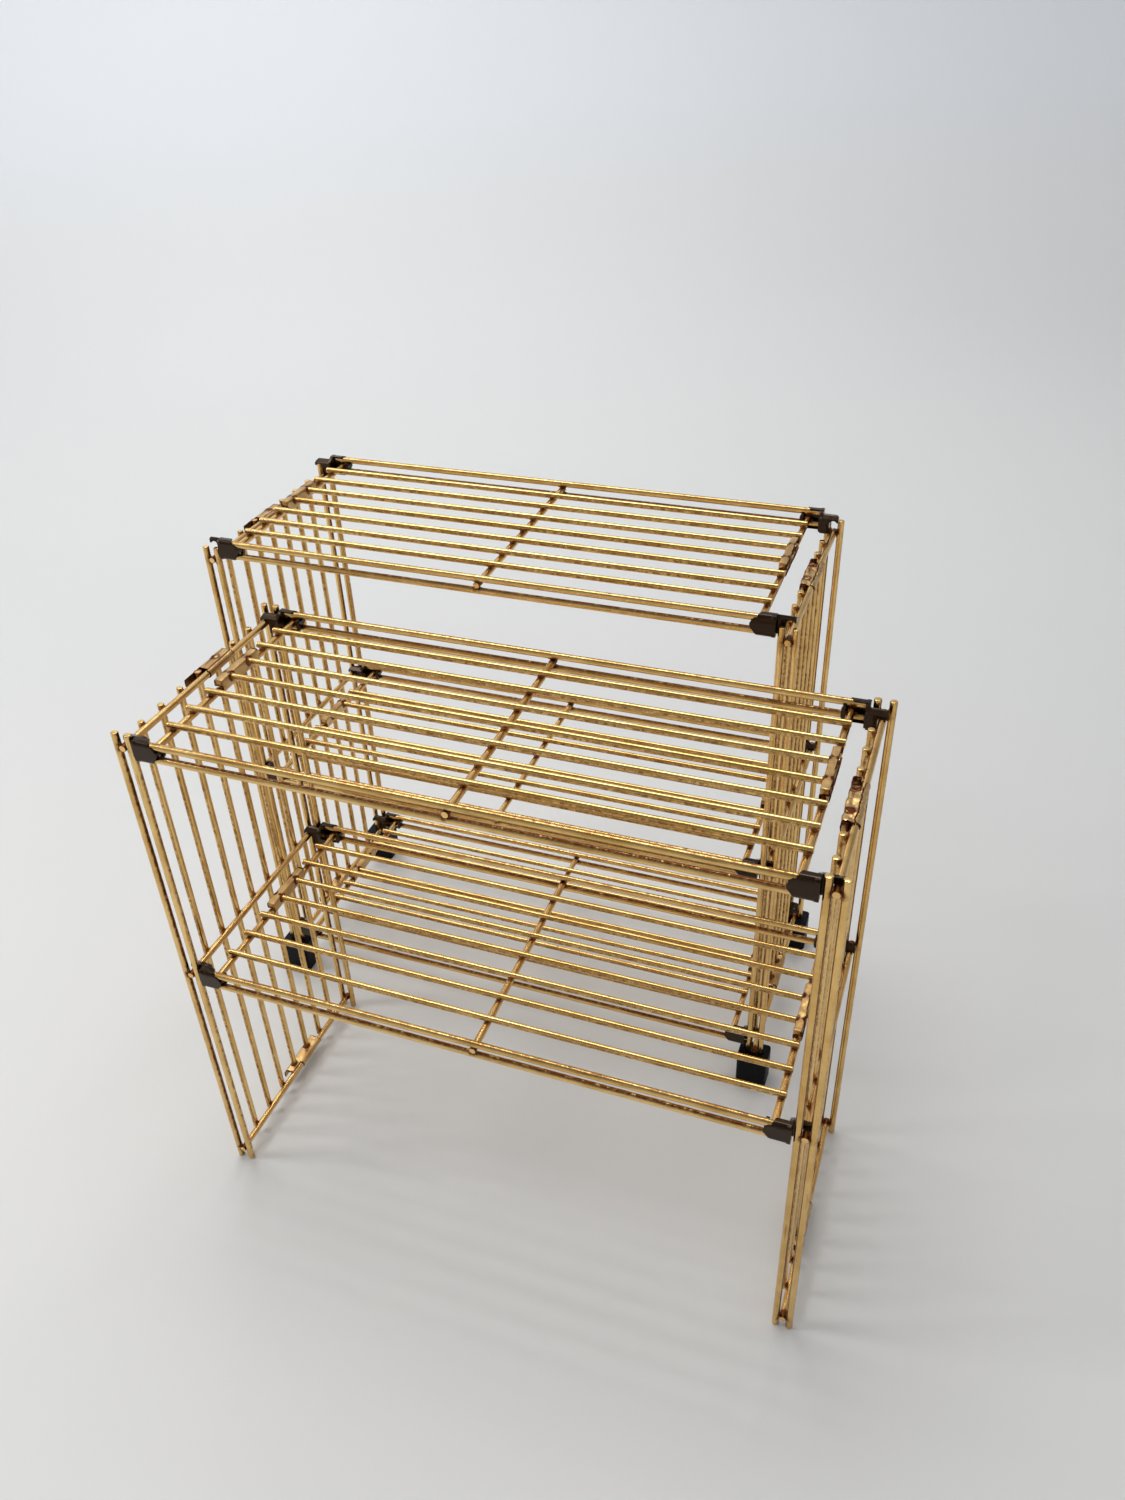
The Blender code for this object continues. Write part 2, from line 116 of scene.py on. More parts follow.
class Nodes:
    """A short way to write a material's node tree."""

    def __init__(self, name):
        self.material = bpy.data.materials.new(name)
        self.material.use_nodes = True
        self.tree = self.material.node_tree
        self.shader = self.tree.nodes["Principled BSDF"]

    def add(self, kind, settings=None, **inputs):
        node = self.tree.nodes.new(kind)
        for key, value in (settings or {}).items():
            setattr(node, key, value)
        for key, value in inputs.items():
            self.feed(node.inputs[key.replace("_", " ")], value)
        return node

    def feed(self, socket, value):
        if isinstance(value, bpy.types.NodeSocket):
            self.tree.links.new(value, socket)
        else:
            socket.default_value = value

    def noise(self, vector, scale, detail=3.0, roughness=0.55):
        return self.add(
            "ShaderNodeTexNoise", Vector=vector, Scale=scale, Detail=detail, Roughness=roughness
        ).outputs["Fac"]

    def ramp(self, value, low, high, out_low=0.0, out_high=1.0):
        node = self.add("ShaderNodeMapRange", {"interpolation_type": "SMOOTHSTEP"}, Value=value)
        limits = {"From Min": low, "From Max": high, "To Min": out_low, "To Max": out_high}
        for name, number in limits.items():
            self.feed(node.inputs[name], number)
        return node.outputs["Result"]

    def math(self, operation, first, second):
        node = self.add("ShaderNodeMath", {"operation": operation})
        self.feed(node.inputs[0], first)
        self.feed(node.inputs[1], second)
        return node.outputs["Value"]

    def mix(self, factor, first, second, blend="MIX"):
        node = self.add("ShaderNodeMix", {"data_type": "RGBA", "blend_type": blend})
        self.feed(node.inputs["Factor"], factor)
        self.feed(node.inputs["A"], first)
        self.feed(node.inputs["B"], second)
        return node.outputs["Result"]

    def attribute(self, name):
        return self.add("ShaderNodeAttribute", {"attribute_name": name}).outputs["Fac"]

    def position(self):
        return self.add("ShaderNodeTexCoord").outputs["Object"]

    def along(self, stretch, across):
        """Coordinates that follow each rod, from its UV map: lines run along the rod."""
        uv = self.add("ShaderNodeUVMap", {"uv_map": "along"}).outputs["UV"]
        mapping = self.add("ShaderNodeMapping", Vector=uv, Scale=(stretch, across, 1.0))
        return mapping.outputs["Vector"]

    def bump(self, height, strength, distance):
        node = self.add("ShaderNodeBump", Height=height, Strength=strength, Distance=distance)
        self.surface(Normal=node.outputs["Normal"])

    def surface(self, **inputs):
        """Feeds the shader's own sockets."""
        for key, value in inputs.items():
            self.feed(self.shader.inputs[key.replace("_", " ")], value)


def brass(name, light, dark, stain_and_side_shade, shine, streaking):
    """Aged brass under worn lacquer: dark streaks and fine lines along the rod, stains at the joints, and
    painted shade along the rods' sides and grooves.
    """
    n = Nodes(name)
    place = n.position()
    cloud = n.noise(place, 26.0, 4.0, 0.6)
    fine = n.noise(place, 420.0, 3.0, 0.6)
    lines = n.noise(n.along(1.2, 26.0), 5.0, 4.0, 0.65)
    streaks = n.ramp(n.noise(n.along(0.9, 7.0), 1.0, 5.0, 0.62), 0.53, 0.68, 0.0, streaking)
    worn = n.ramp(cloud, 0.30, 0.72, 0.0, 0.60)
    tone = n.math("ADD", worn, n.ramp(lines, 0.35, 0.75, -0.10, 0.32))
    tone = n.math("ADD", tone, n.attribute("shade"))
    metal = n.mix(tone, (*light, 1.0), (*dark, 1.0))
    patches = n.noise(place, 230.0, 4.0, 0.7)
    # the mesh's mask: stains at the joints, and painted shade on the rods' sides and between doubled rods
    stain_and_shade = n.math("MULTIPLY", n.attribute("stain_and_shade"), n.ramp(patches, 0.28, 0.70, 0.45, 1.5))
    specks = n.ramp(n.noise(place, 150.0, 5.0, 0.75), 0.60, 0.74)
    specks = n.math("MULTIPLY", specks, n.ramp(cloud, 0.45, 0.70, 0.0, 0.6))
    stain_and_shade_mix = n.math("MAXIMUM", n.math("MAXIMUM", stain_and_shade, specks), streaks)
    stain_and_shade_mix = n.ramp(stain_and_shade_mix, 0.10, 0.85)
    polish = n.ramp(fine, 0.3, 0.7, shine - 0.02, shine + 0.03)
    rough = n.math("ADD", polish, n.ramp(stain_and_shade_mix, 0.0, 1.0, 0.0, 0.16))
    n.surface(Base_Color=n.mix(stain_and_shade_mix, metal, (*stain_and_side_shade, 1.0)), Metallic=1.0, Roughness=rough)
    n.bump(n.math("ADD", n.math("MULTIPLY", lines, 0.6), n.math("MULTIPLY", fine, 0.5)), 0.035, 0.0004)
    return n.material


def braze_metal(name):
    """Reddish braze that has run into the crossings."""
    n = Nodes(name)
    place = n.position()
    cloud = n.noise(place, 160.0, 4.0, 0.6)
    fine = n.noise(place, 700.0, 3.0, 0.6)
    red, scorched = (0.46, 0.21, 0.075, 1.0), (0.12, 0.036, 0.014, 1.0)
    colour = n.mix(n.ramp(cloud, 0.32, 0.68), red, scorched)
    n.surface(Base_Color=colour, Metallic=0.85, Roughness=n.ramp(fine, 0.3, 0.7, 0.38, 0.62))
    n.bump(cloud, 0.5, 0.0006)
    return n.material


def clip_plastic(name, light, dark):
    """Dark brown moulded plastic, glossy, with faint flow marks and dust in its grain."""
    n = Nodes(name)
    place = n.position()
    cloud = n.noise(place, 60.0, 4.0, 0.6)
    fine = n.noise(place, 1500.0, 2.0, 0.5)
    scuffs = n.noise(place, 320.0, 5.0, 0.7)
    colour = n.mix(n.ramp(cloud, 0.34, 0.68), (*dark, 1.0), (*light, 1.0))
    dust = (0.075, 0.058, 0.042, 1.0)
    colour = n.mix(n.ramp(scuffs, 0.60, 0.78, 0.0, 0.30), colour, dust)
    n.surface(Base_Color=colour, Roughness=n.ramp(scuffs, 0.3, 0.75, 0.11, 0.26))
    n.surface(Specular_IOR_Level=0.32, Specular_Tint=(1.0, 0.62, 0.36, 1.0))
    n.surface(Coat_Weight=0.14, Coat_Roughness=0.06)
    n.bump(n.math("ADD", n.math("MULTIPLY", scuffs, 0.7), n.math("MULTIPLY", fine, 0.3)), 0.12, 0.0004)
    return n.material


def foot_rubber(name):
    """Black rubber with a fine grain and a trace of dust."""
    n = Nodes(name)
    place = n.position()
    cloud = n.noise(place, 45.0, 4.0, 0.6)
    grain = n.noise(place, 1300.0, 3.0, 0.6)
    dusty = n.ramp(n.noise(place, 300.0, 5.0, 0.7), 0.52, 0.76)
    dusty = n.math("MULTIPLY", dusty, n.ramp(cloud, 0.4, 0.7, 0.1, 0.5))
    black, dust = (0.0020, 0.0025, 0.0040, 1.0), (0.022, 0.022, 0.023, 1.0)
    n.surface(Base_Color=n.mix(dusty, black, dust), Specular_IOR_Level=0.12)
    n.surface(Roughness=n.ramp(grain, 0.3, 0.7, 0.42, 0.60))
    n.bump(grain, 0.35, 0.0003)
    return n.material


def plain_floor(name, near, far, wall):
    """Matt white paint with painted light: brighter in front of the racks, duller towards the foot of the
    wall, and cooler up the wall.
    """
    n = Nodes(name)
    place = n.position()
    split = n.add("ShaderNodeSeparateXYZ", Vector=place)
    # painted light: the ground is painted brighter near the front and darker towards the back, standing in
    # for the fall of the light
    ground = n.mix(n.ramp(split.outputs["Y"], -1.1, 0.9), (*near, 1.0), (*far, 1.0))
    colour = n.mix(n.ramp(split.outputs["Z"], 0.0, 0.7), ground, (*wall, 1.0))
    cloud = n.ramp(n.noise(place, 0.9, 3.0, 0.5), 0.3, 0.7, 0.0, 0.03)
    colour = n.mix(cloud, colour, (0.5, 0.5, 0.5, 1.0))
    n.surface(Base_Color=colour, Roughness=0.85, Specular_IOR_Level=0.2)
    return n.material


# --------------------------------------------------------------------------- rods

def ring_places(length, joints):
    """Where a rod has rings of vertices: dense near its joints, sparse elsewhere."""
    places = [i * length / ceil(length / RING_STEP) for i in range(1, ceil(length / RING_STEP))]
    for at, _, _ in joints:
        places += [at + side * step for side in (-1, 1) for step in JOINT_RINGS]
    kept = []
    for place in sorted(places):
        inside = 2 * END_ROUNDING < place < length - 2 * END_ROUNDING
        if inside and (not kept or place - kept[-1] > RING_GAP):
            kept.append(place)
    return kept


def rod_rings(length, radius, joints):
    """(place along, radius) of each ring, with a small rounding at both cut ends."""
    turns = [pi / 2 * i / 3 for i in (3, 2, 1, 0)]
    rounding = [(END_ROUNDING * (1 - sin(t)), radius - END_ROUNDING * (1 - cos(t))) for t in turns]
    far_end = [(length - place, size) for place, size in reversed(rounding)]
    return rounding + [(place, radius) for place in ring_places(length, joints)] + far_end


def add_rod(bm, start, end, radius, joints, bow, seed, shaded_sides=()):
    """One rod in a mesh. A joint is (place along, direction to the other rod, strength of its stain).

    The sides that face the given directions are darkened all along with painted shade, more so for a longer
    direction.
    """
    layers = bm.loops.layers.uv.verify()
    stain_and_shade = bm.verts.layers.float["stain_and_shade"]
    shade = bm.verts.layers.float["shade"]
    draw = Random(seed)
    tint = draw.uniform(*TINTS)
    shift = draw.uniform(0.0, 40.0)
    way = end - start
    length = way.length
    way.normalize()
    side = way.orthogonal().normalized()
    up = way.cross(side)
    rings = []
    outline = rod_rings(length, radius, joints)
    for place, size in outline:
        clean_end = place in (outline[0][0], outline[-1][0])
        middle = start + way * place + bow * (4 * place * (length - place) / length**2)
        ring = []
        for i in range(ROD_SIDES):
            turn = 2 * pi * i / ROD_SIDES
            out = side * cos(turn) + up * sin(turn)
            vert = bm.verts.new(middle + out * size)
            # painted shade: the sides that face the given directions are darker all along the rod
            stain_and_side_shade = max([0.0, *(out.dot(side_way) ** 3 for side_way in shaded_sides)])
            for at, towards, strength in joints:
                nearness = exp(-(((place - at) / STAIN_REACH) ** 2))
                facing = STAIN_BEHIND + (1 - STAIN_BEHIND) * max(0.0, out.dot(towards))
                stain_and_side_shade = max(stain_and_side_shade, strength * nearness * facing)
            vert[stain_and_shade] = 0.0 if clean_end else stain_and_side_shade
            vert[shade] = CLEAN_SHADE if clean_end else tint
            ring.append(vert)
        rings.append((place, ring))
    for (low, first), (high, second) in zip(rings, rings[1:]):
        for i in range(ROD_SIDES):
            j = (i + 1) % ROD_SIDES
            face = bm.faces.new((first[i], first[j], second[j], second[i]))
            corners = ((low, i), (low, i + 1), (high, i + 1), (high, i))
            for loop, (place, turn) in zip(face.loops, corners):
                loop[layers].uv = (place * LINE_SCALE + shift, turn / ROD_SIDES + shift)
    for place, ring, flip in ((*rings[0], True), (*rings[-1], False)):
        face = bm.faces.new(list(reversed(ring)) if flip else ring)
        for loop in face.loops:
            loop[layers].uv = (place * LINE_SCALE + shift, shift)


def new_bmesh():
    bm = bmesh.new()
    bm.loops.layers.uv.new("along")
    bm.verts.layers.float.new("stain_and_shade")
    bm.verts.layers.float.new("shade")
    return bm


def piece(name, bm, material, body, sharp=40):
    """Turns a bmesh into a smooth-shaded object on its CAD body."""
    mesh = bpy.data.meshes.new(name)
    bm.to_mesh(mesh)
    bm.free()
    mesh.materials.append(material)
    mesh.shade_smooth()
    mesh.set_sharp_from_angle(angle=radians(sharp))
    obj = bpy.data.objects.new(name, mesh)
    bpy.context.scene.collection.objects.link(obj)
    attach(obj, body)
    return obj


def add_bead(bm, centre, normal, first, second, seed, size):
    """A lump of braze squeezed into a crossing: wide along both rods, thin between them."""
    grown = bmesh.ops.create_icosphere(bm, subdivisions=3, radius=1.0)
    turn = Matrix((first, second, normal)).transposed()
    offset = Vector((seed * 3.1, seed * 1.7, seed * 0.9))
    for vert in grown["verts"]:
        swell = 1 + 0.22 * noise.noise(vert.co * 1.9 + offset)
        local = Vector([vert.co[i] * size[i] for i in range(3)]) * swell
        vert.co = centre + turn @ local


class Grid:
    """A panel's or a shelf's directions and places, worked out from its CAD node."""

    def __init__(self, name, lying):
        self.name = name
        low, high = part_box(f"{name}_grid")
        self.along = Vector((1, 0, 0)) if lying else Vector((0, 0, 1))
        self.out = Vector((0, 0, 1)) if lying else Vector((-1, 0, 0))
        self.across = Vector((0, 1, 0))
        middle = low.z if lying else high.x
        plane = middle + (PAIR_SPACING / 2 + ROD_RADIUS) * (1 if lying else -1)
        front = low.y + ROD_RADIUS
        self.origin = Vector((low.x, front, plane)) if lying else Vector((plane, front, low.z))
        self.length = (high - low).dot(self.along)
        inset = SHELF_BAR_INSET if lying else PANEL_BAR_INSET
        self.bars = (inset, self.length / 2, self.length - inset)
        middle_slat = (SLAT_COUNT - 1) / 2
        self.slats = [DEPTH / 2 + (i - middle_slat) * SLAT_PITCH for i in range(SLAT_COUNT)]

    def at(self, along, across, out):
        return self.origin + self.along * along + self.across * across + self.out * out


def build_grid(grid, body, finishes, seed):
    """The rods, crossbars, slats and braze of one panel or shelf."""
    half = PAIR_SPACING / 2
    zero = Vector((0, 0, 0))
    edges, bars, slats, beads = new_bmesh(), new_bmesh(), new_bmesh(), bmesh.new()
    for row, across in enumerate((0.0, DEPTH)):
        for side in (-1, 1):
            joints = [(at, grid.out * -side, EDGE_STAIN) for at in grid.bars]
            start, end = grid.at(0, across, side * half), grid.at(grid.length, across, side * half)
            # patina and painted shade in the groove between the doubled rods, and painted shade on their
            # outer sides
            groove_patina_and_side_shade = [grid.out * (-side * GROOVE_PATINA_AND_SHADE), grid.out * (side * SIDE_SHADE)]
            add_rod(edges, start, end, ROD_RADIUS, joints, zero, seed + 2 * row + side, groove_patina_and_side_shade)
            for at in grid.bars:
                touch = grid.at(at, across, side * (BAR_RADIUS - BRAZE_BITE / 2))
                bead = seed + at * 9 + across + side
                add_bead(beads, touch, grid.out, grid.along, grid.across, bead, EDGE_BEAD)
    for index, at in enumerate(grid.bars):
        start, end = grid.at(at, -BAR_OVERHANG, 0), grid.at(at, DEPTH + BAR_OVERHANG, 0)
        joints = [(across + BAR_OVERHANG, grid.out, SLAT_STAIN) for across in grid.slats]
        around = (grid.out, -grid.out, grid.along, -grid.along)
        ends = (0.0, DEPTH)
        joints += [(across + BAR_OVERHANG, way, BAR_END_STAIN) for across in ends for way in around]
        add_rod(bars, start, end, BAR_RADIUS, joints, zero, seed + 10 + index)
    reach = BAR_RADIUS + SLAT_OVERHANG
    low, high = grid.bars[0] - reach, grid.bars[2] + reach
    for index, across in enumerate(grid.slats):
        start, end = grid.at(low, across, SLAT_OFFSET), grid.at(high, across, SLAT_OFFSET)
        joints = [(at - low, -grid.out, SLAT_STAIN) for at in grid.bars]
        draw = Random(seed + 20 + index)
        bow = grid.across * draw.uniform(-SLAT_BOW, SLAT_BOW)
        # painted shade on both sides of each slat
        slat_side_shade = [grid.across * SIDE_SHADE, grid.across * -SIDE_SHADE]
        add_rod(slats, start, end, SLAT_RADIUS, joints, bow, seed + 20 + index, slat_side_shade)
        for at in grid.bars:
            touch = grid.at(at, across, BAR_RADIUS - BRAZE_BITE / 2)
            bead = seed + at * 7 + across * 5
            add_bead(beads, touch, grid.out, grid.along, grid.across, bead, SLAT_BEAD)
    rods = piece(f"{grid.name}_edge_rods", edges, finishes["rod"], body)
    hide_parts(f"{grid.name}_grid")
    piece(f"{grid.name}_crossbars", bars, finishes["bar"], body)
    piece(f"{grid.name}_slats", slats, finishes["slat"], body)
    piece(f"{grid.name}_braze", beads, finishes["braze"], body, ROUND)


# --------------------------------------------------------------------------- sleeves

def softened(corners, step, rounds=2):
    """A polyline through the corners, cut into short lengths, with its corners rounded."""
    line = []
    for first, second in zip(corners, corners[1:]):
        count = max(1, round(hypot(second[0] - first[0], second[1] - first[1]) / step))
        line += [
            tuple(first[k] + (second[k] - first[k]) * i / count for k in (0, 1)) for i in range(count)
        ]
    line.append(corners[-1])
    for _ in range(rounds):
        inner = [
            tuple((line[i - 1][k] + 2 * line[i][k] + line[i + 1][k]) / 4 for k in (0, 1))
            for i in range(1, len(line) - 1)
        ]
        line = [line[0], *inner, line[-1]]
    return line


# Where each stretch of a sleeve's sheet runs, in shares of its length from its front end: round the
# crossbar, up where the slats pass through, over their ends, and down behind them. From "step" on, the
# cover is narrower. "waves" is the height of its dents, and a capped sleeve has a flap over each end.
MISSING = (2.0, 2.0)
UNSTEPPED = 2.0
SLEEVE_STYLES = {
    "shelf_left": {
        "wrap": (0.0, 1.0), "wall": (0.0, 1.0), "cover": (0.0, 0.98), "back": MISSING,
        "step": 0.6, "waves": 0.00022, "capped": True,
    },
    "shelf_right": {
        "wrap": (0.0, 1.0), "wall": (0.0, 1.0), "cover": (0.0, 1.0), "back": MISSING,
        "step": 0.45, "waves": 0.00030, "capped": True,
    },
    "panel_left": {
        "wrap": (0.34, 1.0), "wall": (0.05, 1.0), "cover": (0.0, 1.0), "back": (0.38, 1.0),
        "step": UNSTEPPED, "waves": 0.00028, "capped": False,
    },
    "panel_right": {
        "wrap": (0.05, 0.92), "wall": (0.0, 0.95), "cover": (0.02, 1.0), "back": (0.03, 0.80),
        "step": UNSTEPPED, "waves": 0.00120, "capped": True,
    },
}


def sheet_stretch(index, a, b):
    """Which stretch a face of the sheet belongs to, from its number and place along the profile."""
    if index < WRAP_STEPS:
        return "wrap"
    if b > SLEEVE_COVER - COVER_BAND:
        return "cover"
    return "wall" if a > 0 else "back"


def build_sleeve(grid, end, node, body, finishes, kind, seed):
    """Folded sheet round an end crossbar and its two middle slats, with its dents and its ragged ends."""
    style = SLEEVE_STYLES[kind]
    inward = 1 if end == 0 else -1
    low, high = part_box(node)
    front = (low.y + high.y - SLEEVE_LENGTH) / 2 - grid.origin.y
    wide = SLEEVE_HALF_WIDTH
    corners = [(wide, SLEEVE_COVER), (-wide, SLEEVE_COVER), (-wide, 0.0)]
    profile = softened(arc((0, 0), wide, 180, 360, WRAP_STEPS) + corners, SLEEVE_STEP)
    bm = new_bmesh()
    layers = bm.loops.layers.uv.verify()
    stain_and_shade = bm.verts.layers.float["stain_and_shade"]
    shade = bm.verts.layers.float["shade"]
    draw = Random(seed)
    offset = Vector([draw.uniform(0, 50) for _ in range(3)])
    columns = []
    for a, b in profile:
        column = []
        for j in range(SLEEVE_ROWS + 1):
            share = j / SLEEVE_ROWS
            across = front + SLEEVE_LENGTH * share
            place = grid.at(grid.bars[end] + a * inward, across, b)
            # dents about 7 mm wide, with finer ones on them
            wave = noise.noise_vector(place * 140 + offset) * style["waves"]
            wave += noise.noise_vector(place * 420 + offset) * style["waves"] * 0.45
            vert = bm.verts.new(place + wave)
            vert[shade] = 0.15 + 0.5 * noise.noise(place * 60 + offset)
            column.append(vert)
        columns.append(column)
    for i, (first, second) in enumerate(zip(columns, columns[1:])):
        a, b = ((profile[i][k] + profile[i + 1][k]) / 2 for k in (0, 1))
        stretch = sheet_stretch(i, a, b)
        start, stop = style[stretch]
        for j in range(SLEEVE_ROWS):
            share = (j + 0.5) / SLEEVE_ROWS
            ragged = RAGGEDNESS * noise.noise(Vector((i * 0.9, j * 0.4, seed)))
            narrow = stretch == "cover" and share > style["step"] and a < -wide + STEP_WIDTH
            if start + ragged <= share <= stop + ragged and not narrow:
                face = bm.faces.new((first[j], second[j], second[j + 1], first[j + 1]))
                for loop, (u, v) in zip(face.loops, ((j, i), (j, i + 1), (j + 1, i + 1), (j + 1, i))):
                    loop[layers].uv = (u * SLEEVE_LENGTH / SLEEVE_ROWS * LINE_SCALE, v / len(profile))
    if style["capped"]:
        for j in (0, SLEEVE_ROWS):
            add_flap(bm, [column[j] for (a, b), column in zip(profile, columns) if b > wide])
    loose = [vert for vert in bm.verts if not vert.link_faces]
    bmesh.ops.delete(bm, geom=loose, context="VERTS")
    slats = [grid.at(grid.bars[end] + wide * inward, across, SLAT_OFFSET) for across in grid.slats]
    far_side = grid.along * (-2 * wide * inward)
    for vert in bm.verts:
        rim = RIM_GRIME if vert.is_boundary else 0.0
        beside = min((vert.co - slat - side).length for slat in slats for side in (Vector(), far_side))
        nearness = exp(-((max(0.0, beside - SLAT_RADIUS) / SLAT_GRIME_REACH) ** 2))
        vert[stain_and_shade] = max(rim, SLAT_GRIME * nearness)
    sleeve = piece(f"{node}_sheet", bm, finishes["sheet"], body, 50)
    bake(sleeve, "SOLIDIFY", thickness=SLEEVE_SHEET, offset=0.0)
    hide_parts(node)
    rings = bmesh.new()
    for number, slat in enumerate(slats):
        if abs(slat.y - (low.y + high.y) / 2) < SLEEVE_LENGTH / 2:
            for reach in (0.0005, -2 * wide - 0.0002):   # on the outer faces of the wall and the back
                centre = slat + grid.along * inward * reach
                add_ring(rings, centre, grid.along, SLAT_RADIUS + 0.0001, seed + number)
    piece(f"{node}_solder", rings, finishes["braze"], body, ROUND)


def add_flap(bm, rim):
    """A flap of sheet folded down over a sleeve's end, from its rim of vertices."""
    centre = bm.verts.new(sum((vert.co for vert in rim), Vector()) / len(rim))
    for first, second in zip(rim, rim[1:] + rim[:1]):
        bm.faces.new((first, second, centre))


def add_ring(bm, centre, axis, radius, seed):
    """An uneven ring of solder round a rod."""
    side = axis.orthogonal().normalized()
    up = axis.cross(side)
    around, section = 28, 8
    loops = []
    for i in range(around):
        turn = 2 * pi * i / around
        out = side * cos(turn) + up * sin(turn)
        thick = SOLDER_THICKNESS * (1 + 0.45 * noise.noise(out * 1.7 + Vector((seed, 0, 0))))
        loop = []
        for k in range(section):
            roll = 2 * pi * k / section
            place = centre + out * (radius + thick * cos(roll)) + axis * thick * sin(roll)
            loop.append(bm.verts.new(place))
        loops.append(loop)
    for i, loop in enumerate(loops):
        following = loops[(i + 1) % around]
        for k in range(section):
            j = (k + 1) % section
            bm.faces.new((loop[k], following[k], following[j], loop[j]))
    bmesh.ops.recalc_face_normals(bm, faces=bm.faces)


# --------------------------------------------------------------------------- clips and feet

def bake(obj, kind, **settings):
    """Runs one modifier on an object and keeps the result as its mesh."""
    modifier = obj.modifiers.new("baked", kind)
    for key, value in settings.items():
        setattr(modifier, key, value)
    old = obj.data
    mesh = bpy.data.meshes.new_from_object(obj.evaluated_get(bpy.context.evaluated_depsgraph_get()))
    obj.modifiers.clear()
    obj.data = mesh
    mesh.name = old.name
    if not old.users:
        bpy.data.meshes.remove(old)


def prism(outline, along, low, high):
    """A loose object: an outline pushed along X, Y or Z. Its points are (y, z), (x, z) or (x, y)."""
    axis = "XYZ".index(along)
    bm = bmesh.new()
    verts = []
    for point in outline:
        place = list(point)
        place.insert(axis, low)
        verts.append(bm.verts.new(place))
    grown = bmesh.ops.extrude_face_region(bm, geom=[bm.faces.new(verts)])
    push = Vector((0, 0, 0))
    push[axis] = high - low
    moved = [item for item in grown["geom"] if isinstance(item, bmesh.types.BMVert)]
    bmesh.ops.translate(bm, verts=moved, vec=push)
    bmesh.ops.recalc_face_normals(bm, faces=bm.faces)
    mesh = bpy.data.meshes.new("solid")
    bm.to_mesh(mesh)
    bm.free()
    obj = bpy.data.objects.new("solid", mesh)
    bpy.context.scene.collection.objects.link(obj)
    return obj


def block(low, high):
    outline = [(low[0], low[1]), (high[0], low[1]), (high[0], high[1]), (low[0], high[1])]
    return prism(outline, "Z", low[2], high[2])


def cut(obj, tool, operation):
    bake(obj, "BOOLEAN", operation=operation, solver="EXACT", object=tool)
    obj.data = in_order(obj.data)
    bpy.data.objects.remove(tool, do_unlink=True)


def in_order(mesh):
    """The same mesh with its points and faces sorted, because a Boolean's order varies from run to run."""
    places = [tuple(round(value, 8) for value in vert.co) for vert in mesh.vertices]
    order = sorted(range(len(places)), key=places.__getitem__)
    rank = {old: new for new, old in enumerate(order)}
    faces = []
    for face in mesh.polygons:
        corners = [rank[index] for index in face.vertices]
        first = corners.index(min(corners))
        faces.append(corners[first:] + corners[:first])
    result = bpy.data.meshes.new(mesh.name)
    result.from_pydata([places[index] for index in order], [], sorted(faces))
    return result


def moulded(name, solids, grain, softness, kept):
    """One soft-edged mesh out of overlapping solids."""
    bm = bmesh.new()
    for obj in solids:
        bm.from_mesh(obj.data)
        bpy.data.objects.remove(obj, do_unlink=True)
    mesh = bpy.data.meshes.new(name)
    bm.to_mesh(mesh)
    bm.free()
    obj = bpy.data.objects.new(name, mesh)
    bpy.context.scene.collection.objects.link(obj)
    bake(obj, "REMESH", mode="VOXEL", voxel_size=grain, use_smooth_shade=True)
    bake(obj, "SMOOTH", factor=0.5, iterations=softness)
    bake(obj, "DECIMATE", ratio=kept)
    mesh = obj.data
    bpy.data.objects.remove(obj, do_unlink=True)
    mesh.shade_smooth()
    return mesh


def arc(centre, radius, start, end, steps):
    turns = [radians(start + (end - start) * i / steps) for i in range(steps + 1)]
    return [(centre[0] + radius * cos(turn), centre[1] + radius * sin(turn)) for turn in turns]


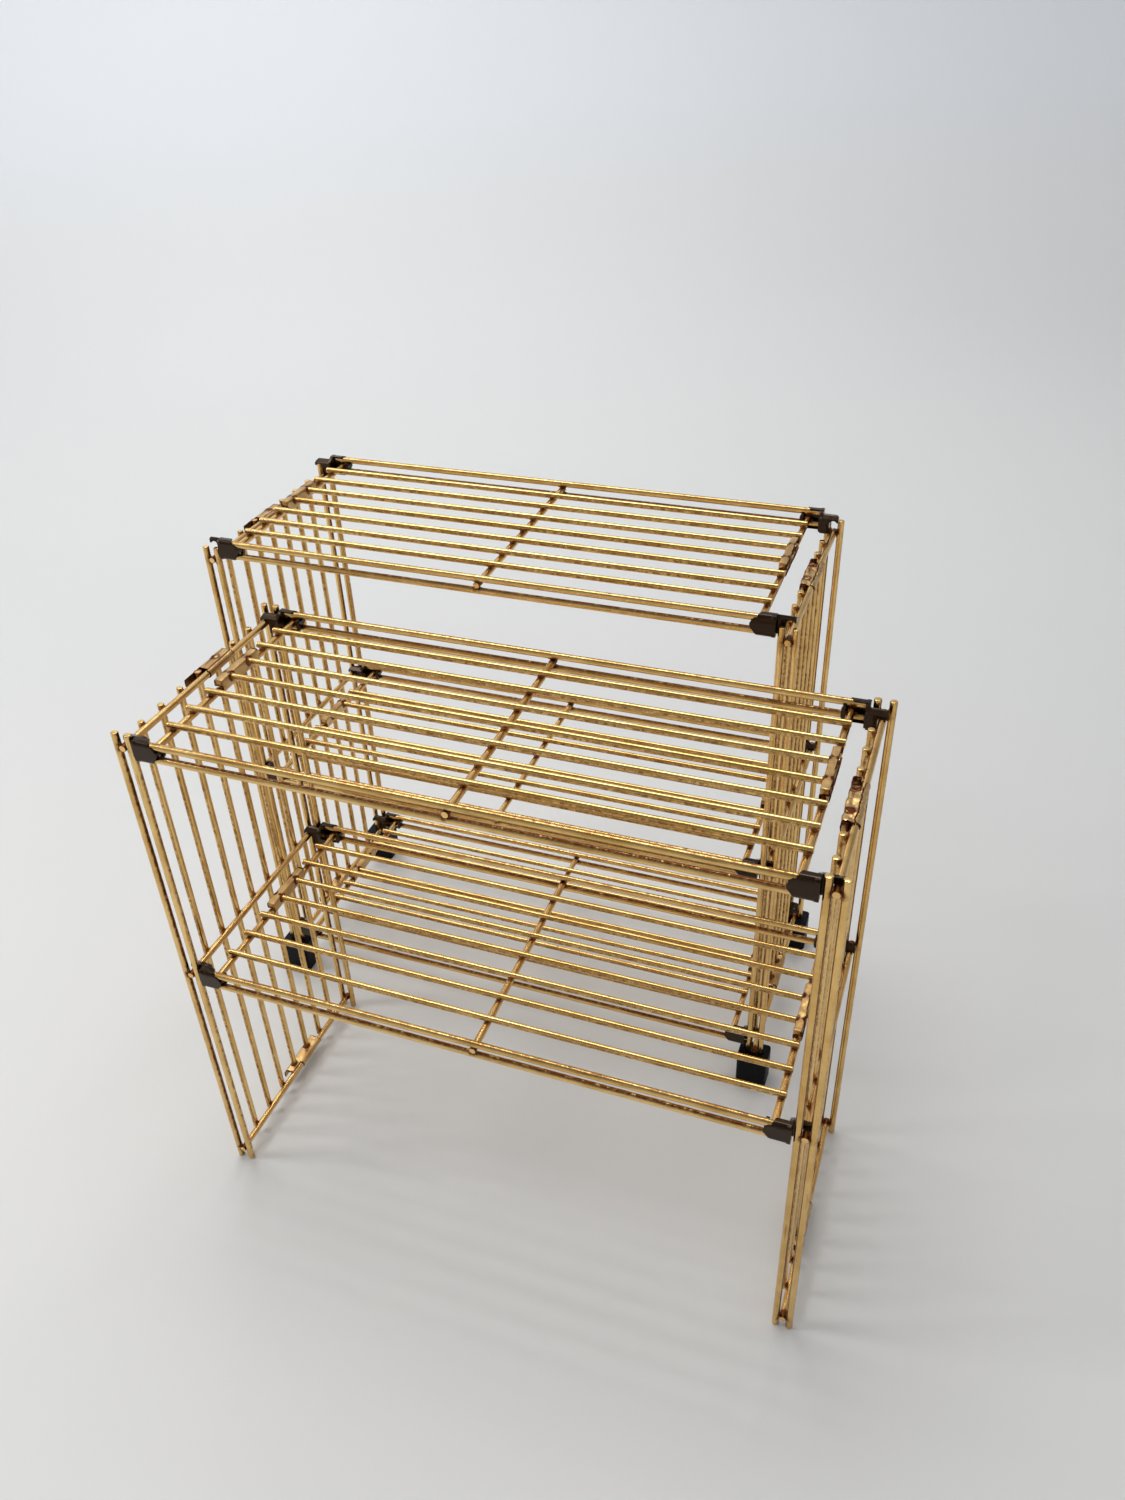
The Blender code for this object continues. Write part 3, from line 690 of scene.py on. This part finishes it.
def clip_mesh():
    """The front left clip, from the panel's middle plane, the leg rod's centre and the shelf's middle."""
    half = PAIR_SPACING / 2
    outer, inner = 0.0046, 0.0037   # the channel's radii round the shelf's edge rods
    lip = 0.0043                    # how far its lips reach past the rods' middle
    channel = (
        [(lip, -half - outer)] + arc((0, -half), outer, 270, 180, 8) + arc((0, half), outer, 180, 90, 8)
        + [(lip, half + outer), (lip, half + inner)] + arc((0, half), inner, 90, 180, 8)
        + arc((0, -half), inner, 180, 270, 8) + [(lip, -half - inner)]
    )
    plate = prism(channel, "X", CLIP_START, CLIP_TIP)
    outline = [
        (0.005, -0.02), (0.0298, -0.02), (0.0298, -0.0114), (0.0308, -0.0104), (0.0338, -0.0060),
        (0.0364, -0.0028), (0.0372, -0.0008), (0.0371, 0.0022), (0.0350, 0.0056), (0.0318, 0.0100),
        (0.0309, 0.0110), (0.0305, 0.02), (0.005, 0.02),
    ]
    cut(plate, prism(outline, "Y", -0.02, 0.02), "INTERSECT")
    slant = [(0.0315, -0.006), (0.06, -0.006), (0.06, 0.02), (0.0207, 0.02)]
    cut(plate, prism(slant, "Z", 0.0086, 0.03), "DIFFERENCE")
    flange = prism(
        [(-0.0046, -0.0095), (-0.0026, -0.0114), (0.0115, -0.0114), (0.0138, -0.0090), (0.0138, 0.0046),
         (0.0110, 0.0070), (0.0075, 0.0094), (0.0040, 0.0113), (-0.0026, 0.0114), (-0.0046, 0.0095)],
        "X", CLIP_START, CLIP_FLANGE_END,
    )
    bore, finger, rounding = 0.0042, 0.0052, 0.0042
    hook_front, hook_back = 0.0062, 0.0138
    hook = prism(
        arc((0, 0), bore, 158, 0, 14)
        + [(bore, -0.0112), (0.0140, -0.0112), (0.0140, 0.0092)]
        + arc((rounding - finger, 0.0050), rounding, 90, 180, 6) + [(-finger, 0.0024), (-0.0046, 0.0018)],
        "Y", hook_front, hook_back,
    )
    slope = [
        (hook_front, 0.0092), (0.0085, 0.0084), (hook_back, 0.0054),
        (0.02, 0.0054), (0.02, 0.02), (hook_front, 0.02),
    ]
    cut(hook, prism(slope, "X", -0.02, 0.02), "DIFFERENCE")
    tab = prism(
        [(0.0332, -0.0026), (0.0368, -0.0024), (0.0368, 0.0022), (0.0332, 0.0026)], "Y", -0.0043, 0.0078
    )
    barb = prism(
        [(0.0334, -0.0078), (0.0366, -0.0076), (0.0374, -0.0050),
         (0.0374, 0.0030), (0.0362, 0.0052), (0.0334, 0.0050)],
        "Y", 0.0041, 0.0082,
    )
    return moulded("clip", [plate, flange, hook, tab, barb], grain=0.00032, softness=3, kept=0.28)


def foot_mesh():
    """The front foot, from the floor between its two leg rods: sockets for them, a slot for the crossbar."""
    corner, inset = 0.0042, 0.0002     # the inset keeps the moulding inside the CAD block
    play, slot = 0.0004, BAR_RADIUS + 0.0005
    past_top, past_back = 0.09, 0.03   # where the cuts end, outside the foot
    x, y = FOOT_LENGTH / 2 - inset, FOOT_DEPTH / 2 - inset
    outline = (
        arc((x - corner, y - corner), corner, 0, 90, 6)
        + arc((corner - x, y - corner), corner, 90, 180, 6)
        + arc((corner - x, corner - y), corner, 180, 270, 6)
        + arc((x - corner, corner - y), corner, 270, 360, 6)
    )
    body = prism(outline, "Z", 0.0, FOOT_HEIGHT)
    for side in (-1, 1):
        circle = arc((side * PAIR_SPACING / 2, 0), ROD_RADIUS + play, 0, 345, 23)
        cut(body, prism(circle, "Z", FOOT_FLOOR - 0.0003, past_top), "DIFFERENCE")
    front, bottom = -BAR_OVERHANG - play, FOOT_FLOOR + PANEL_BAR_INSET - slot
    cut(body, block((-slot, front, bottom), (slot, past_back, past_top)), "DIFFERENCE")
    return moulded("foot", [body], grain=0.0006, softness=3, kept=0.30)


def mirrored(mesh, flip_x, flip_y):
    copy = mesh.copy()
    copy.transform(Matrix.Diagonal((-1 if flip_x else 1, -1 if flip_y else 1, 1, 1)))
    if flip_x != flip_y:
        copy.flip_normals()
    return copy


def place_moulding(name, mesh, place, body, node):
    obj = bpy.data.objects.new(name, mesh)
    obj.location = place
    bpy.context.scene.collection.objects.link(obj)
    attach(obj, body)
    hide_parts(node)


# --------------------------------------------------------------------------- scene

BRASS_LIGHT, BRASS_DARK = (0.88, 0.595, 0.235), (0.56, 0.315, 0.080)
# the colour of the joint stains and of the painted shade on the rods' sides
BRASS_STAIN_AND_SHADE = (0.15, 0.046, 0.012)
BAR_LIGHT, BAR_DARK = (0.86, 0.555, 0.220), (0.52, 0.275, 0.072)
SHEET_LIGHT, SHEET_DARK = (0.72, 0.485, 0.210), (0.38, 0.200, 0.068)
SHEET_STAIN = (0.085, 0.020, 0.009)
CLIP_LIGHT, CLIP_DARK = (0.0170, 0.0080, 0.0030), (0.0070, 0.0030, 0.0011)
# the near and far floor colours carry painted light and painted shade
FLOOR_NEAR_PAINTED_LIGHT, FLOOR_FAR_PAINTED_SHADE, WALL = (0.86, 0.855, 0.835), (0.71, 0.71, 0.70), (0.735, 0.745, 0.765)
finishes = {
    "rod": brass("brass_edge_rod", BRASS_LIGHT, BRASS_DARK, BRASS_STAIN_AND_SHADE, shine=0.18, streaking=0.50),
    "bar": brass("brass_crossbar", BAR_LIGHT, BAR_DARK, BRASS_STAIN_AND_SHADE, shine=0.19, streaking=0.55),
    "slat": brass("brass_slat", BRASS_LIGHT, BRASS_DARK, BRASS_STAIN_AND_SHADE, shine=0.18, streaking=0.38),
    "braze": braze_metal("braze"),
    "sheet": brass("brass_sleeve", SHEET_LIGHT, SHEET_DARK, SHEET_STAIN, shine=0.32, streaking=0.70),
    "clip": clip_plastic("dark_clip", CLIP_LIGHT, CLIP_DARK),
    "foot": foot_rubber("foot_rubber"),
}

noise.seed_set(DENT_SEED)   # without a seed, noise_vector follows the clock

panels = [(rack, side) for rack in ("rear", "front") for side in ("left", "right")]
for number, (rack, side) in enumerate(panels):
    name, body, seed = f"{rack}_{side}_panel", f"{rack}_rack", 100 * number
    grid = Grid(name, lying=False)
    build_grid(grid, body, finishes, seed + 1)
    for end, level in ((0, "bottom"), (2, "top")):
        node = f"{name}_{level}_sleeve"
        build_sleeve(grid, end, node, body, finishes, f"panel_{side}", seed + 50 + end)

shelves = [f"rear_{level}_shelf" for level in ("bottom", "middle", "top")]
shelves += [f"front_{level}_shelf" for level in ("middle", "top")]
clips = {}
clip = clip_mesh()
clip.materials.append(finishes["clip"])
for row in ("front", "rear"):
    for side in ("left", "right"):
        clips[row, side] = mirrored(clip, side == "right", row == "rear")
for number, name in enumerate(shelves):
    seed = 1000 + 100 * number
    grid = Grid(name, lying=True)
    build_grid(grid, name, finishes, seed)
    for end, side in ((0, "left"), (2, "right")):
        node = f"{name}_{side}_sleeve"
        build_sleeve(grid, end, node, name, finishes, f"shelf_{side}", seed + 50 + end)
    for (row, side), mesh in clips.items():
        node = f"{name}_{row}_{side}_clip"
        along = -SHELF_ROD_START if side == "left" else grid.length + SHELF_ROD_START
        place = grid.at(along, DEPTH if row == "rear" else 0.0, 0.0)
        place_moulding(f"{node}_moulding", mesh, place, name, node)

foot = foot_mesh()
foot.materials.append(finishes["foot"])
for row in ("front", "rear"):
    mesh = mirrored(foot, False, row == "rear")
    for side in ("left", "right"):
        node = f"rear_{row}_{side}_foot"
        low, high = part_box(node)
        place = ((low.x + high.x) / 2, (low.y + high.y) / 2, low.z)
        place_moulding(f"{node}_moulding", mesh, place, "rear_rack", node)


def cyclorama(material):
    """A round studio sweep: a level floor that curves up into a wall all round the racks."""
    radius, bend, height = 6.0, 2.5, 5.0
    bend_steps = 16
    profile = [(0.0, 0.0), (1.5, 0.0), (3.0, 0.0), (radius - bend, 0.0)]
    turns = [pi / 2 * i / bend_steps for i in range(1, bend_steps + 1)]
    profile += [(radius - bend + bend * sin(t), bend * (1 - cos(t))) for t in turns]
    profile.append((radius, height))
    bm = bmesh.new()
    verts = [bm.verts.new((x, 0, z)) for x, z in profile]
    for first, second in zip(verts, verts[1:]):
        bm.edges.new((first, second))
    bmesh.ops.spin(
        bm, geom=bm.verts[:] + bm.edges[:], cent=(0, 0, 0), axis=(0, 0, 1), angle=2 * pi, steps=96
    )
    bmesh.ops.remove_doubles(bm, verts=bm.verts, dist=0.0001)
    bmesh.ops.recalc_face_normals(bm, faces=bm.faces)
    mesh = bpy.data.meshes.new("studio_floor")
    bm.to_mesh(mesh)
    bm.free()
    mesh.shade_smooth()
    mesh.materials.append(material)
    obj = bpy.data.objects.new("studio_floor", mesh)
    bpy.context.scene.collection.objects.link(obj)


def softbox(name, place, target, size, power, colour):
    """A rectangular area light that faces its target."""
    data = bpy.data.lights.new(name, "AREA")
    data.shape = "RECTANGLE"
    data.size, data.size_y = size
    data.energy = power
    data.color = colour
    obj = bpy.data.objects.new(name, data)
    obj.location = place
    obj.rotation_euler = (Vector(target) - Vector(place)).to_track_quat("-Z", "Y").to_euler()
    bpy.context.scene.collection.objects.link(obj)


def studio_room(dark, bright):
    """A room that is dark in front of the racks and bright behind and above them."""
    room = bpy.data.worlds.new("studio_room")
    room.use_nodes = True
    tree = room.node_tree
    way = tree.nodes.new("ShaderNodeTexCoord")
    split = tree.nodes.new("ShaderNodeSeparateXYZ")
    ramp = tree.nodes.new("ShaderNodeMapRange")
    limits = {"From Min": -0.55, "From Max": 0.25, "To Min": dark, "To Max": bright}
    for name, number in limits.items():
        ramp.inputs[name].default_value = number
    tree.links.new(way.outputs["Generated"], split.inputs["Vector"])
    tree.links.new(split.outputs["Y"], ramp.inputs["Value"])
    tree.links.new(ramp.outputs["Result"], tree.nodes["Background"].inputs["Strength"])
    tree.nodes["Background"].inputs["Color"].default_value = (0.95, 0.97, 1.0, 1.0)
    bpy.context.scene.world = room


WHITE, WARM_WHITE, COOL_WHITE = (1.0, 1.0, 1.0), (1.0, 0.985, 0.96), (0.96, 0.98, 1.0)
LIGHTS = {
    "key_light": {
        "place": (-2.8, -1.1, 3.0), "target": (0, -0.3, 0.2), "size": (0.7, 0.7),
        "power": 30, "colour": WHITE,
    },
    "top_light": {
        "place": (-0.8, 0.9, 3.6), "target": (-0.1, -0.1, 0.3), "size": (3.2, 0.75),
        "power": 54, "colour": WARM_WHITE,
    },
    "wall_light": {
        "place": (-2.2, 2.6, 4.2), "target": (-3.2, 5.6, 1.0), "size": (1.5, 1.5),
        "power": 104, "colour": COOL_WHITE,
    },
}
cyclorama(plain_floor("studio_floor", FLOOR_NEAR_PAINTED_LIGHT, FLOOR_FAR_PAINTED_SHADE, WALL))
for name, settings in LIGHTS.items():
    softbox(name, **settings)
studio_room(dark=0.22, bright=0.60)

camera = bpy.data.cameras.new("camera")
camera.lens = CAMERA_LENS
camera.sensor_width = 36
camera.clip_end = 50
viewer = bpy.data.objects.new("camera", camera)
low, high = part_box("front_left_panel_grid")
leg = Vector((high.x - PAIR_SPACING / 2 - ROD_RADIUS, low.y + ROD_RADIUS, 0))
viewer.location = leg + Vector(CAMERA_FROM_LEG)
viewer.rotation_euler = CAMERA_TURN
bpy.context.scene.collection.objects.link(viewer)
bpy.context.scene.camera = viewer

bpy.context.scene.view_settings.view_transform = "Standard"
